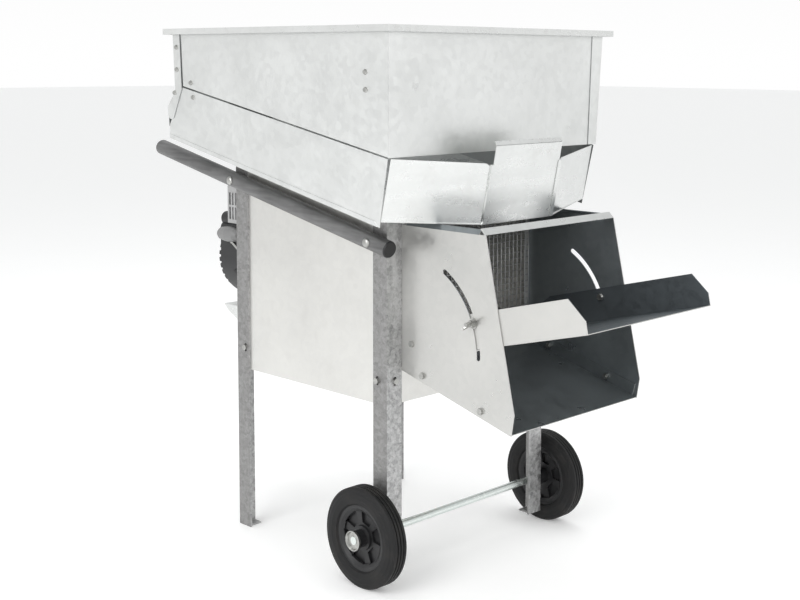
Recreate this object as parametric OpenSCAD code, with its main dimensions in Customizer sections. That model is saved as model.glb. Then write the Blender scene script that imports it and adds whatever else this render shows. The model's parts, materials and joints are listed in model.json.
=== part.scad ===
// Olive defoliator: a sheet steel hopper on four angle iron legs, with an inclined
// tray, a lifting gate, a fan blown outlet box and a tilting leaf deflector.
// +X points to the outlet, +Y to the left side, +Z up. The origin is on the ground,
// at the middle of the outer box. Lengths in millimetres, angles in degrees.

/* [Legs] */
// Length of the leg rectangle, outside to outside of the angle iron
leg_span_x = 480; // [440:5:520]
// Width of the leg rectangle, outside to outside of the angle iron
leg_span_y = 468; // [440:4:500]
// Flange width of the angle iron
angle_w = 40; // [35:1:50]
// Flange thickness of the angle iron
angle_t = 4; // [3:0.5:5]
// Height of the front feet above the ground, which the wheels keep clear
front_foot_lift = 30; // [15:5:40]
// Side of the square foot plate let into each angle
foot_plate = 34; // [24:1:36]

/* [Wheels] */
// Outer diameter of the tyres
tyre_d = 200; // [180:5:220]
// Width of the tyres
tyre_w = 42; // [36:1:50]
// Diameter of the plastic wheel centre where the tyre seats
rim_d = 130; // [120:2:140]
// Diameter of the axle bar
axle_d = 16; // [12:1:20]
// Distance of the axle behind the front faces of the front legs
axle_inset = 20; // [16:1:22]
// Number of wheel spokes
spokes = 6; // [5:1:8]

/* [Handles] */
// Outer diameter of the handle tubes
tube_d = 33.7; // [30:0.1:36]
// Wall thickness of the handle tubes
tube_wall = 2.6; // [2:0.1:3.5]
// Length of the handle tubes without their end plugs
tube_len = 775; // [700:5:860]
// Slope of the handle tubes, rising to the rear
tube_slope = 11.8; // [8:0.1:14]
// Height of the tube axis at the front leg bolt
tube_front_z = 680; // [665:1:690]

/* [Tray] */
// Slope of the tray floor, falling to the outlet
tray_slope = 11.6; // [9:0.1:13]
// Height of the tray floor at its front corners
tray_front_z = 731; // [725:1:745]
// Forward position of the front corners of the tray floor
tray_front_x = 295; // [285:1:305]
// Length of the tray floor behind its front corners
tray_len = 687; // [660:1:700]
// Height of the tray sides at the front, square to the floor
tray_side_front = 120; // [110:1:125]
// Height of the tray sides at the rear, square to the floor
tray_side_rear = 108; // [100:1:115]
// Depth of the folded hem below the tray floor
tray_hem = 12; // [8:1:14]
// Reach of the funnel front ahead of the tray corners
funnel_reach = 73; // [60:1:85]
// Thickness of the hopper and tray sheet
sheet = 1.5; // [1:0.1:2]

/* [Gate] */
// Width of the sliding gate
gate_w = 198; // [170:2:230]
// Height of the sliding gate
gate_h = 155; // [140:1:170]
// Greatest lift of the gate
gate_lift = 110; // [80:5:115]

/* [Hopper] */
// Height of the underside of the hopper rim above the ground
hopper_top_z = 1093; // [1080:1:1110]
// Half width of the hopper at its top, outside
hopper_half_w = 315.4; // [300:0.2:325]
// Forward position of the front wall at its top, outside
hopper_front_x = 331; // [322:1:340]
// Rear position of the rear wall, outside
hopper_rear_x = -350; // [-360:1:-340]
// Inward lean of the hopper walls from the vertical
wall_lean = 2; // [1:0.1:3]
// Outward reach of the rim
rim_reach = 17; // [12:1:22]
// Depth of the rim's turned down edge
rim_drop = 11; // [8:1:15]

/* [Outlet box] */
// Half width of the outlet box, outside its side plates
outlet_half_w = 193.7; // [180:0.1:193.7]
// Thickness of the outlet side plates
plate_t = 2; // [1.5:0.1:3]
// Height of the top edge of the outlet side plates
plate_top_z = 711; // [705:1:718]
// Radius of the arc slot about the deflector pivot
slot_r = 176; // [165:1:182]
// Width of the arc slot
slot_w = 10; // [9:0.5:12]

/* [Deflector] */
// Upward slope of the deflector as it stands
deflector_slope = 14.3; // [5:0.1:20]
// Distance from the pivot to the front tip of the deflector
deflector_reach = 437; // [400:1:460]
// Distance from the pivot to the rear edge of the deflector floor
deflector_floor_start = 190; // [180:1:220]
// Bolt diameter of the deflector pivots and clamps
pivot_d = 8; // [6:1:8]

/* [Mesh] */
// Wire thickness of the mesh guard
mesh_wire = 2; // [1.5:0.1:3]
// Number of openings across the mesh guard
mesh_cols = 19; // [12:1:19]
// Number of openings up the mesh guard
mesh_rows = 15; // [10:1:15]

/* [Fan and engine] */
// Height of the fan and crankshaft axis
fan_z = 560; // [550:1:570]
// Outer diameter of the fan
fan_d = 360; // [300:5:370]
// Number of fan blades
fan_blades = 6; // [4:1:8]
// Diameter of the drive shaft
shaft_d = 20; // [16:1:22]
// Radius of the engine's cooling shroud
shroud_r = 100; // [92:1:104]
// Number of air teeth round the starter cover
starter_teeth = 36; // [24:2:40]

/* [Hidden] */
$fn = 64;

eps = 0.01;
run_fit = 0.05;
gap = 0.3;

// Legs
half_x = leg_span_x / 2;
half_y = leg_span_y / 2;
axle_x = half_x - axle_inset;
axle_z = tyre_d / 2;
bolt_d = 8;
hole_d = bolt_d + 0.4;
panel_bolt_z = 403;
rear_upper_bolt_z = 700;
panel_bolt_x = half_x - 28;
panel_bolt_y = half_y - 21;

// Handles
tube_y = half_y + tube_d / 2;
tube_bolt_x = half_x - 23;
tube_axis_z = function(x) tube_front_z + (tube_bolt_x - x) * tan(tube_slope);
tube_front_reach = 48;
tube_rear_x = tube_bolt_x + (tube_front_reach - tube_len) * cos(tube_slope);

// Hopper walls lean in, so their half width shrinks with the depth
wall_y = function(z) hopper_half_w - (hopper_top_z - z) * tan(wall_lean);
floor_z = function(x) tray_front_z + (tray_front_x - x) * tan(tray_slope);
// Height along a leaning side wall, from the hopper's top edge
tray_x = function(u, w) tray_front_x + u * cos(tray_slope) + w * sin(tray_slope);
tray_z = function(u, w) tray_front_z - u * sin(tray_slope) + w * cos(tray_slope);
side_in = sheet / cos(wall_lean) + sheet * tan(wall_lean) + 0.03;

// Panels: positions of the sheet faces behind the leg flanges
panel_y = half_y - angle_t;
plate_flange_x = half_x - angle_t;
front_panel_x = plate_flange_x - plate_t;
rear_panel_x = -half_x + angle_t;
panel_bottom_z = 355;

// Outlet box and deflector
pivot_x = half_x + 28.5;
pivot_z = 479;
plate_in = outlet_half_w - plate_t;
deflector_out = plate_in - 0.4;
deflector_in = deflector_out - sheet;
clamp_angle = 7.2;
outlet_front_x = half_x + 294;
outlet_low_z = 347;
outlet_rear_low_z = 423;
outlet_slope = atan((outlet_rear_low_z - outlet_low_z) / (outlet_front_x - 7 - plate_flange_x));

// Gate
gate_out = gate_w / 2;
gate_u = funnel_reach;

// Outer reach of the object along X, for the origin
tip_u = deflector_reach;
front_end_x = pivot_x + tip_u * cos(deflector_slope) + 27 * sin(deflector_slope);
plug_cap_r = tube_d / 2 - 0.2;
plug_cap_len = 8;
rear_end_x = tube_rear_x - sqrt(pow(plug_cap_len * cos(tube_slope), 2) + pow(plug_cap_r * sin(tube_slope), 2));
shift_x = -(front_end_x + rear_end_x) / 2;

module here() {
  translate([shift_x, 0, 0]) children();
}

// The right side is at -Y. The left side is its mirror image.
module on_right() { children(); }
module on_left() { mirror([0, 1, 0]) children(); }
module both_sides() {
  children();
  mirror([0, 1, 0]) children();
}

// Turns an outline drawn in X and Z, and thickens it towards +Y
module sheet_xz(t) {
  translate([0, t, 0]) rotate([90, 0, 0]) linear_extrude(t) children();
}

// Frame of the tray: X down the slope, Z square to the floor
module tray_frame() {
  translate([tray_front_x, 0, tray_front_z]) rotate([0, tray_slope, 0]) children();
}

// Everything above the underside of the tray floor
module above_floor() {
  tray_frame() translate([-1200, -600, -sheet]) cube([2000, 1200, 900]);
}

// Frame of the right hopper wall: Z runs down to negative along the leaning wall
module right_wall_frame() {
  translate([0, -hopper_half_w, hopper_top_z]) rotate([wall_lean, 0, 0]) children();
}

// Legs
module leg(x, dir, low) {
  difference() {
    union() {
      translate([min(x, x + dir * angle_w), -half_y, low]) cube([angle_w, angle_t, 900 - low]);
      translate([min(x, x + dir * angle_t), -half_y, low]) cube([angle_t, angle_w, 900 - low]);
      translate([min(x, x + dir * foot_plate), -half_y, low]) cube([foot_plate, foot_plate, 3]);
    }
    above_floor();
    // Short upright slots for the panel bolts
    for (z = [-5, 5])
      translate([x + dir * 28, -half_y - 1, panel_bolt_z + z]) rotate([-90, 0, 0])
        cylinder(d = hole_d, h = angle_t + 2);
    translate([x + dir * 28 - hole_d / 2, -half_y - 1, panel_bolt_z - 5]) cube([hole_d, angle_t + 2, 10]);
    for (z = [-5, 5])
      translate([x - 5, -panel_bolt_y, panel_bolt_z + z]) rotate([0, 90, 0])
        cylinder(d = hole_d, h = 10);
    translate([x - 5, -panel_bolt_y - hole_d / 2, panel_bolt_z - 5]) cube([10, hole_d, 10]);
    // Bolt hole for the handle tube
    translate([x + dir * 23, -half_y - 1, tube_axis_z(x + dir * 23)]) rotate([-90, 0, 0])
      cylinder(d = hole_d, h = angle_t + 2);
  }
}

module front_leg() {
  difference() {
    leg(half_x, -1, front_foot_lift);
    translate([axle_x, -half_y - 1, axle_z]) rotate([-90, 0, 0])
      cylinder(d = axle_d + 2 * run_fit, h = angle_t + 2);
  }
}

module rear_leg() {
  difference() {
    leg(-half_x, 1, 0);
    translate([-half_x - 5, -panel_bolt_y, rear_upper_bolt_z]) rotate([0, 90, 0]) cylinder(d = hole_d, h = 10);
  }
}

module leg_front_right() { color("silver") here() on_right() front_leg(); }
module leg_front_left() { color("silver") here() on_left() front_leg(); }
module leg_rear_right() { color("silver") here() on_right() rear_leg(); }
module leg_rear_left() { color("silver") here() on_left() rear_leg(); }

// Handle tubes
module tube_frame() {
  translate([tube_bolt_x, -tube_y, tube_front_z]) rotate([0, tube_slope, 0]) rotate([0, 90, 0]) children();
}

module handle_tube() {
  difference() {
    tube_frame() translate([0, 0, tube_front_reach - tube_len]) difference() {
      cylinder(d = tube_d, h = tube_len);
      translate([0, 0, -1]) cylinder(d = tube_d - 2 * tube_wall, h = tube_len + 2);
    }
    for (x = [tube_bolt_x, -tube_bolt_x])
      translate([x, -tube_y - tube_d, tube_axis_z(x)]) rotate([-90, 0, 0])
        cylinder(d = hole_d, h = 2 * tube_d);
  }
}

module tube_plug_pair() {
  plug_d = tube_d - 2 * tube_wall - 0.1;
  tube_frame() {
    translate([0, 0, tube_front_reach - 22]) cylinder(d = plug_d, h = 22);
    translate([0, 0, tube_front_reach]) cylinder(d1 = tube_d - 0.4, d2 = tube_d - 3, h = 3);
    translate([0, 0, tube_front_reach - tube_len]) cylinder(d = plug_d, h = 22);
    translate([0, 0, tube_front_reach - tube_len]) rotate([180, 0, 0]) rotate_extrude()
      intersection() {
        scale([plug_cap_r, plug_cap_len]) circle(1);
        square([tube_d, plug_cap_len]);
      }
  }
}

module handle_tube_right() { color("dimgray") here() on_right() handle_tube(); }
module handle_tube_left() { color("dimgray") here() on_left() handle_tube(); }
module tube_plugs() { color("darkslategray") here() both_sides() tube_plug_pair(); }

// Wheels and axle
wheel_in = half_y + 1;
hub_w = 65;
wheel_out = wheel_in + hub_w;
tyre_mid = wheel_in + 16 + tyre_w / 2;
axle_half = wheel_out + 5;

module axle() {
  color("lightgray") here() translate([axle_x, -axle_half, axle_z]) rotate([-90, 0, 0])
    cylinder(d = axle_d, h = 2 * axle_half);
}

// Tyre section: stepped side walls and a flat tread with three grooves
module tyre_section() {
  r0 = rim_d / 2;
  r1 = tyre_d / 2;
  h = tyre_w / 2;
  g = 2.5;
  difference() {
    polygon([
      [r0, -h * 0.72], [r0 + 3, -h * 0.9], [r0 + 14, -h], [r1 - 12, -h * 0.96],
      [r1 - 9, -h * 0.9], [r1 - 4, -h * 0.86], [r1, -h * 0.7],
      [r1, h * 0.7], [r1 - 4, h * 0.86], [r1 - 9, h * 0.9], [r1 - 12, h * 0.96],
      [r0 + 14, h], [r0 + 3, h * 0.9], [r0, h * 0.72]
    ]);
    for (k = [-1, 0, 1]) translate([r1 - 3, k * h * 0.36 - g / 2]) square([4, g]);
  }
}

module tyre() {
  translate([axle_x, -tyre_mid, axle_z]) rotate([90, 0, 0]) rotate_extrude($fn = 96) tyre_section();
}

module wheel_centre() {
  r = rim_d / 2 - 0.05;
  rim_w = tyre_w * 0.72;
  translate([axle_x, -tyre_mid, axle_z]) rotate([90, 0, 0]) difference() {
    union() {
      rotate_extrude($fn = 96) polygon([
        [r - 6, -rim_w / 2], [r, -rim_w / 2], [r, rim_w / 2], [r - 6, rim_w / 2],
        [r - 13, rim_w / 2 - 5], [r - 13, 5 - rim_w / 2]
      ]);
      translate([0, 0, -7]) cylinder(r = r - 12, h = 14);
      translate([0, 0, -7]) cylinder(r1 = 26, r2 = 24, h = 19);
      translate([0, 0, wheel_in - tyre_mid]) cylinder(d = 34, h = hub_w);
    }
    // Wedge shaped windows between the spokes
    for (k = [0:spokes - 1]) rotate([0, 0, k * 360 / spokes + 15])
      translate([0, 0, -20]) linear_extrude(40)
        polygon([[28, -9.5], [r - 15, -19], [r - 13.5, 0], [r - 15, 19], [28, 9.5]]);
    translate([0, 0, -60]) cylinder(d = axle_d + 2 * run_fit, h = 120);
  }
}

// Cup shaped caps that hold the wheels on the axle
module hub_cap() {
  translate([axle_x, -wheel_out - gap, axle_z]) rotate([90, 0, 0]) difference() {
    rotate_extrude() polygon([
      [axle_d / 2, 0], [17, 0], [20, 3], [20, 7.5], [18, 7.5], [16, 3.5], [axle_d / 2, 3.5]
    ]);
  }
}

module tyre_right() { color("dimgray") here() on_right() tyre(); }
module tyre_left() { color("dimgray") here() on_left() tyre(); }
module wheel_right() { color("darkslategray") here() on_right() wheel_centre(); }
module wheel_left() { color("darkslategray") here() on_left() wheel_centre(); }
module hub_caps() { color("silver") here() both_sides() hub_cap(); }

// Fan chamber panels
module y_holes(points, y0, len) {
  for (p = points) translate([p[0], y0, p[1]]) rotate([-90, 0, 0]) cylinder(d = hole_d, h = len);
}

module side_panel() {
  x1 = front_panel_x - sheet;
  x0 = rear_panel_x + sheet;
  difference() {
    union() {
      translate([x0, -panel_y, panel_bottom_z]) cube([x1 - x0, sheet, 560]);
      translate([x1 - sheet, -panel_y, panel_bottom_z]) cube([sheet, 24, 560]);
      translate([x0, -panel_y, panel_bottom_z]) cube([sheet, 24, 560]);
    }
    above_floor();
    y_holes([[panel_bolt_x, panel_bolt_z], [-panel_bolt_x, panel_bolt_z],
             [tube_bolt_x, tube_axis_z(tube_bolt_x)], [-tube_bolt_x, tube_axis_z(-tube_bolt_x)]],
            -panel_y - 5, 10);
    for (x = [x0, x1 - sheet])
      translate([x - 1, -panel_bolt_y, panel_bolt_z]) rotate([0, 90, 0]) cylinder(d = hole_d, h = 4);
    translate([x0 - 1, -panel_bolt_y, rear_upper_bolt_z]) rotate([0, 90, 0]) cylinder(d = hole_d, h = 4);
  }
}

module side_panel_right() { color("gainsboro") here() on_right() side_panel(); }
module side_panel_left() { color("gainsboro") here() on_left() side_panel(); }

mesh_half_w = plate_in - 0.7;
mesh_low_z = outlet_rear_low_z + 2;
mesh_high_z = floor_z(plate_flange_x) - 6;
window_half_w = mesh_half_w - 9;

module front_panel() {
  color("gainsboro") here() difference() {
    translate([front_panel_x - sheet, -panel_y, panel_bottom_z]) cube([sheet, 2 * panel_y, 560]);
    above_floor();
    translate([front_panel_x - 3, -window_half_w, mesh_low_z + 8])
      cube([6, 2 * window_half_w, mesh_high_z - mesh_low_z - 16]);
    for (s = [-1, 1]) translate([front_panel_x - 3, s * panel_bolt_y, panel_bolt_z])
      rotate([0, 90, 0]) cylinder(d = hole_d, h = 6);
  }
}

shaft_hole_d = 60;

module rear_panel() {
  color("gainsboro") here() difference() {
    translate([rear_panel_x, -panel_y, panel_bottom_z]) cube([sheet, 2 * panel_y, 560]);
    above_floor();
    translate([rear_panel_x - 3, 0, fan_z]) rotate([0, 90, 0]) cylinder(d = shaft_hole_d, h = 6);
    for (s = [-1, 1], z = [panel_bolt_z, rear_upper_bolt_z]) translate([rear_panel_x - 3, s * panel_bolt_y, z])
      rotate([0, 90, 0]) cylinder(d = hole_d, h = 6);
  }
}

// Upright plate round the fan ring. Its foot turns forward as the floor of the
// air chamber and meets the front panel.
fan_x = -100;
ring_r = fan_d / 2 + 7;
ring_w = 64;
chamber_y = panel_y - sheet - 0.1;

module fan_duct() {
  color("gainsboro") here() difference() {
    union() {
      translate([fan_x, -chamber_y, panel_bottom_z]) cube([sheet, 2 * chamber_y, 560]);
      translate([fan_x, -chamber_y, panel_bottom_z])
        cube([front_panel_x - 2 * sheet - fan_x - 24, 2 * chamber_y, sheet]);
    }
    above_floor();
    translate([fan_x - ring_w, 0, fan_z]) rotate([0, 90, 0])
      cylinder(r = ring_r + sheet + eps, h = 2 * ring_w, $fn = 96);
  }
}

// Rolled ring round the fan
module fan_ring() {
  color("gainsboro") here() translate([fan_x - ring_w / 2, 0, fan_z]) rotate([0, 90, 0]) difference() {
    cylinder(r = ring_r + sheet, h = ring_w, $fn = 96);
    translate([0, 0, -1]) cylinder(r = ring_r, h = ring_w + 2, $fn = 96);
  }
}

// Square wires in one plane. The openings are cut in equal rows and columns.
module mesh_guard() {
  w = 2 * mesh_half_w;
  h = mesh_high_z - mesh_low_z;
  px = (w - mesh_wire) / mesh_cols;
  pz = (h - mesh_wire) / mesh_rows;
  color("darkgray") here()
    translate([front_panel_x + mesh_wire, -mesh_half_w, mesh_low_z]) rotate([0, -90, 0])
      linear_extrude(mesh_wire) difference() {
        square([h, w]);
        for (i = [0:mesh_rows - 1], j = [0:mesh_cols - 1])
          translate([mesh_wire + i * pz, mesh_wire + j * px]) square([pz - mesh_wire, px - mesh_wire]);
      }
}

// Outlet box
// Points of the side plate in X and Z
plate_outline = [
  [plate_flange_x, outlet_rear_low_z], [outlet_front_x - 7, outlet_low_z],
  [outlet_front_x, outlet_low_z + 41], [half_x + 221, plate_top_z], [plate_flange_x, plate_top_z]
];
floor_bolts = [[half_x + 58, 421], [half_x + 212, 380]];

// The arc slot is the slice of a ring between two angles, with round ends
module arc_slot() {
  translate([pivot_x, -outlet_half_w - 5, pivot_z]) rotate([-90, 0, 0]) {
    intersection() {
      difference() {
        cylinder(r = slot_r + slot_w / 2, h = 10, $fn = 128);
        translate([0, 0, -1]) cylinder(r = slot_r - slot_w / 2, h = 12, $fn = 128);
      }
      linear_extrude(10) polygon([[0, 0], [400, 0], [400, -400 * tan(60)]]);
    }
    translate([slot_r, 0, 0]) cylinder(d = slot_w, h = 10);
    rotate([0, 0, -60]) translate([slot_r, 0, 0]) cylinder(d = slot_w, h = 10);
  }
}

module outlet_plate() {
  fold = 13;
  difference() {
    union() {
      translate([0, -outlet_half_w, 0]) sheet_xz(plate_t) polygon(plate_outline);
      // Flange behind the front leg, held by the panel bolt
      translate([front_panel_x, -panel_y + 6, panel_bottom_z + 25])
        cube([plate_t, panel_y - 6 - outlet_half_w + plate_t, 320]);
      translate([front_panel_x, -outlet_half_w, outlet_rear_low_z])
        cube([plate_flange_x - front_panel_x + eps, plate_t, plate_top_z - outlet_rear_low_z]);
      // Top edge folded in at 45 degrees
      translate([half_x + 12, -outlet_half_w, plate_top_z]) rotate([-45, 0, 0])
        translate([0, 0, -0.6]) cube([192, sheet, fold]);
    }
    y_holes(concat(floor_bolts, [[pivot_x, pivot_z]]), -outlet_half_w - 5, 12);
    arc_slot();
    translate([front_panel_x - 3, -panel_bolt_y, panel_bolt_z]) rotate([0, 90, 0])
      cylinder(d = hole_d, h = 10);
  }
}

module outlet_plate_right() { color("lightgray") here() on_right() outlet_plate(); }
module outlet_plate_left() { color("lightgray") here() on_left() outlet_plate(); }

// Sloping bottom with upturned sides, bolted between the side plates
module outlet_floor() {
  len = (outlet_front_x - 7 - plate_flange_x) / cos(outlet_slope) - 3;
  color("lightgray") here() difference() {
    translate([plate_flange_x + 3, 0, outlet_rear_low_z]) rotate([0, outlet_slope, 0]) {
      translate([0, -plate_in + 0.02, 0.5]) cube([len, 2 * plate_in - 0.04, sheet]);
      for (s = [-1, 1]) translate([0, s > 0 ? plate_in - sheet - 0.02 : -plate_in + 0.02, 0.5])
        cube([len - 10, sheet, 26]);
    }
    for (s = [-1, 1]) y_holes(floor_bolts, s > 0 ? plate_in - 5 : -plate_in - 5, 10);
  }
}

// Folded strip that ties the side plates at the top front corner
module tie_strip() {
  color("gainsboro") here() translate([0, -outlet_half_w, 0])
    sheet_xz(2 * outlet_half_w) polygon([
      [half_x + 221, plate_top_z + 0.1], [half_x + 209.5, plate_top_z + 11.6],
      [half_x + 208.4, plate_top_z + 10.5], [half_x + 218.8, plate_top_z + 0.1]
    ]);
}

// Deflector
module deflector_frame() {
  translate([pivot_x, 0, pivot_z]) rotate([0, -deflector_slope, 0]) children();
}

module deflector_cheek() {
  r = 22;
  difference() {
    translate([0, -deflector_out, 0]) sheet_xz(sheet) union() {
      circle(r);
      polygon([
        [0, -r], [40, -27], [deflector_reach, -27], [deflector_reach + 1, -2],
        [deflector_reach - 29, 40], [40, 40], [0, r]
      ]);
    }
    translate([0, -deflector_out - 2, 0]) rotate([-90, 0, 0]) cylinder(d = pivot_d + 2 * run_fit, h = 6);
    translate([slot_r * cos(clamp_angle), -deflector_out - 2, slot_r * sin(clamp_angle)])
      rotate([-90, 0, 0]) cylinder(d = pivot_d + 0.4, h = 6);
  }
}

module deflector() {
  color("lightgray") here() deflector_frame() {
    both_sides() deflector_cheek();
    translate([deflector_floor_start, -deflector_out + 0.1, -27])
      cube([deflector_reach - deflector_floor_start, 2 * deflector_out - 0.2, sheet]);
  }
}

// Pivot bolts: head outside the plate, nut inside the deflector cheek
module pivot_bolt() {
  translate([pivot_x, -outlet_half_w, pivot_z]) rotate([90, 0, 0]) {
    cylinder(d = 13, h = 4.5, $fn = 6);
    translate([0, 0, -12]) cylinder(d = pivot_d, h = 12);
    translate([0, 0, -(outlet_half_w - deflector_in) - gap - 6]) difference() {
      cylinder(d = 13, h = 6, $fn = 6);
      translate([0, 0, -1]) cylinder(d = pivot_d - eps, h = 8);
    }
  }
}

module pivot_bolts() { color("silver") here() both_sides() pivot_bolt(); }

// Clamp bolts: head inside the cheek, shank out through the arc slot
clamp_len = 26;

module clamp_frame() {
  deflector_frame() translate([slot_r * cos(clamp_angle), -deflector_in, slot_r * sin(clamp_angle)])
    rotate([90, 0, 0]) children();
}

module clamp_bolt() {
  clamp_frame() {
    translate([0, 0, -4]) cylinder(d1 = 12, d2 = 16, h = 4);
    cylinder(d = pivot_d, h = clamp_len);
  }
}

module clamp_bolts() { color("silver") here() both_sides() clamp_bolt(); }

// Wing nut with a washer face, two wings and a plain bore
module wing_nut() {
  seat = outlet_half_w - deflector_in + gap;
  clamp_frame() translate([0, 0, seat]) difference() {
    union() {
      cylinder(d = 20, h = 1.6);
      cylinder(d1 = 16, d2 = 13, h = 10);
      for (a = [0, 180]) rotate([0, 0, a + 25]) translate([0, -1.6, 0]) sheet_xz(3.2)
        polygon([[3, 3], [14, 6], [19, 12], [17, 18], [12, 16], [3, 9]]);
    }
    translate([0, 0, -1]) cylinder(d = pivot_d + 2 * run_fit, h = 20);
  }
}

module wing_nut_right() { color("silver") here() on_right() wing_nut(); }
module wing_nut_left() { color("silver") here() on_left() wing_nut(); }

// Tray
// Half width of the tray inside its leaning sides, at a point on the floor
tray_half = function(u) wall_y(tray_z(u, 0)) - side_in;

module tray_floor() {
  g = gate_out + 6;
  color("gainsboro") here() tray_frame() {
    translate([0, 0, -sheet]) linear_extrude(sheet) polygon([
      [-tray_len, -tray_half(-tray_len)], [0, -tray_half(0)], [gate_u + 3, -g], [gate_u + 3, g],
      [0, tray_half(0)], [-tray_len, tray_half(-tray_len)]
    ]);
    translate([-tray_len, -tray_half(-tray_len), -eps])
      cube([sheet, 2 * tray_half(-tray_len), 24]);
  }
}

// Point of the leaning right wall's own plane for a tray point
wall_pt = function(u, w) [tray_x(u, w), (tray_z(u, w) - hopper_top_z) / cos(wall_lean)];

module tray_side() {
  right_wall_frame() sheet_xz(sheet) polygon([
    wall_pt(-tray_len - 0.5, -tray_hem), wall_pt(0, -tray_hem), wall_pt(0, tray_side_front),
    wall_pt(-tray_len + 33, tray_side_rear), wall_pt(-tray_len + 31, tray_side_rear - 8),
    wall_pt(-tray_len - 3, 18)
  ]);
  // Hem folded back outside the lower edge
  right_wall_frame() translate([0, -sheet, 0]) sheet_xz(sheet) polygon([
    wall_pt(-tray_len + 2, -tray_hem), wall_pt(-6, -tray_hem), wall_pt(-14, 3 - tray_hem + 6),
    wall_pt(-tray_len + 2, 9 - tray_hem)
  ]);
}

module tray_side_right() { color("whitesmoke") here() on_right() tray_side(); }
module tray_side_left() { color("whitesmoke") here() on_left() tray_side(); }

// Slanting front wall between a tray corner and the gate
funnel_in = gate_out + 7;
funnel_run = tray_half(0) - funnel_in;
funnel_turn = atan(gate_u / funnel_run);
funnel_len = sqrt(gate_u * gate_u + funnel_run * funnel_run);

module funnel_wall() {
  tray_frame() translate([0, -tray_half(0) + 0.5, 0]) rotate([0, 0, 90 - funnel_turn])
    translate([0, 0, 0.02]) rotate([90, 0, 0]) translate([0, 0, -sheet]) linear_extrude(sheet) polygon([
      [0, 0], [funnel_len, 0], [funnel_len, tray_side_front - 4],
      [funnel_len - 8, tray_side_front], [2, tray_side_front]
    ]);
}

module funnel_wall_right() { color("whitesmoke") here() on_right() funnel_wall(); }
module funnel_wall_left() { color("whitesmoke") here() on_left() funnel_wall(); }

// Folded channels that carry the gate's edges
module gate_guide() {
  h = tray_side_front - 2;
  slot = sheet + 2 * gap;
  tray_frame() translate([gate_u, -gate_out - 6.2, 0.02]) {
    cube([sheet, 10, h]);
    translate([0, 0, 0]) cube([2 * sheet + slot, 5.6, h]);
    translate([sheet + slot, 0, 0]) cube([sheet, 10, h]);
  }
}

module gate_guides() { color("whitesmoke") here() both_sides() gate_guide(); }

// Sliding gate with its top edge bent back as a lip
module gate() {
  color("gainsboro") here() tray_frame() translate([gate_u + sheet + gap, -gate_out, 0.5]) {
    cube([sheet, gate_w, gate_h]);
    translate([0, 0, gate_h - eps]) rotate([0, -35, 0]) cube([sheet, gate_w, 9]);
  }
}

// Hopper
seam_front_z = 851;
seam_slope = 10.2;
// The open seam between the hopper and tray sides widens to the rear
seam_gap = 4.5;
side_rear_x = hopper_rear_x + 29;
seam_z = function(x) seam_front_z + (hopper_front_x - 6 - x) * tan(seam_slope);
lean_front_x = function(z) hopper_front_x - (hopper_top_z - z) * tan(wall_lean);

// Front wall, a trapezium that leans in
module hopper_front() {
  h = (hopper_top_z - seam_front_z) / cos(wall_lean);
  y0 = hopper_half_w;
  y1 = wall_y(seam_front_z);
  color("gainsboro") here() translate([hopper_front_x, 0, hopper_top_z])
    rotate([0, wall_lean, 0]) rotate([90, 0, 90]) translate([0, 0, -sheet]) linear_extrude(sheet)
      polygon([[-y0, 0], [-y1, -h], [y1, -h], [y0, 0]]);
}

// Side wall with a narrow return folded over the front wall's edge
module hopper_side() {
  d = hopper_top_z;
  xf = hopper_front_x - sheet - 0.15;
  c = cos(wall_lean);
  right_wall_frame() sheet_xz(sheet) polygon([
    [side_rear_x, 0], [xf, 0],
    [lean_front_x(seam_front_z) - sheet - 0.15, (seam_front_z + 1 - d) / c],
    [side_rear_x, (seam_z(side_rear_x) + seam_gap - d) / c]
  ]);
  difference() {
    translate([hopper_front_x + 0.05, 0, hopper_top_z]) rotate([0, wall_lean, 0])
      translate([0, -hopper_half_w - 0.5, -260]) cube([sheet, 36, 260]);
    translate([0, -hopper_half_w, hopper_top_z]) rotate([wall_lean, 0, 0])
      translate([0, -50, -400]) cube([600, 50, 500]);
    translate([0, -400, seam_front_z - 100]) cube([600, 800, 100]);
  }
}

module hopper_side_right() { color("whitesmoke") here() on_right() hopper_side(); }
module hopper_side_left() { color("whitesmoke") here() on_left() hopper_side(); }

// Rear wall: upright, then bulged to the rear where it laps over the tray's end.
// Side flanges lie outside the side walls and end in rounded tongues.
tongue_z = tray_z(-tray_len, 0);

module hopper_rear() {
  x = hopper_rear_x;
  t = sheet;
  d = hopper_top_z;
  flange_y = sheet;
  color("whitesmoke") here() {
    intersection() {
      translate([0, -400, 0]) sheet_xz(800) polygon([
        [x, d], [x, tongue_z + 92], [x - 30, tongue_z + 61], [x - 31, tongue_z + 45],
        [x - 31, tongue_z + 14], [x - 31 + t, tongue_z + 14], [x - 31 + t, tongue_z + 45],
        [x - 30 + t, tongue_z + 60.4], [x + t, tongue_z + 91.4], [x + t, d]
      ]);
      rotate([90, 0, 90]) translate([0, 0, -500]) linear_extrude(400) polygon([
        [-wall_y(d), d], [-wall_y(800), 800], [wall_y(800), 800], [wall_y(d), d]
      ]);
    }
    both_sides() right_wall_frame() translate([0, -sheet, 0]) difference() {
      sheet_xz(sheet) union() {
        polygon([
          [x, 0], [x + 25, 0], [x + 25, tongue_z + 96 - d], [x - 6, tongue_z + 40 - d],
          [x - 31, tongue_z + 40 - d], [x - 31, tongue_z + 58 - d], [x, tongue_z + 90 - d]
        ]);
        translate([x - 18.5, tongue_z + 42 - d]) circle(12.5);
      }
    }
  }
}

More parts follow.
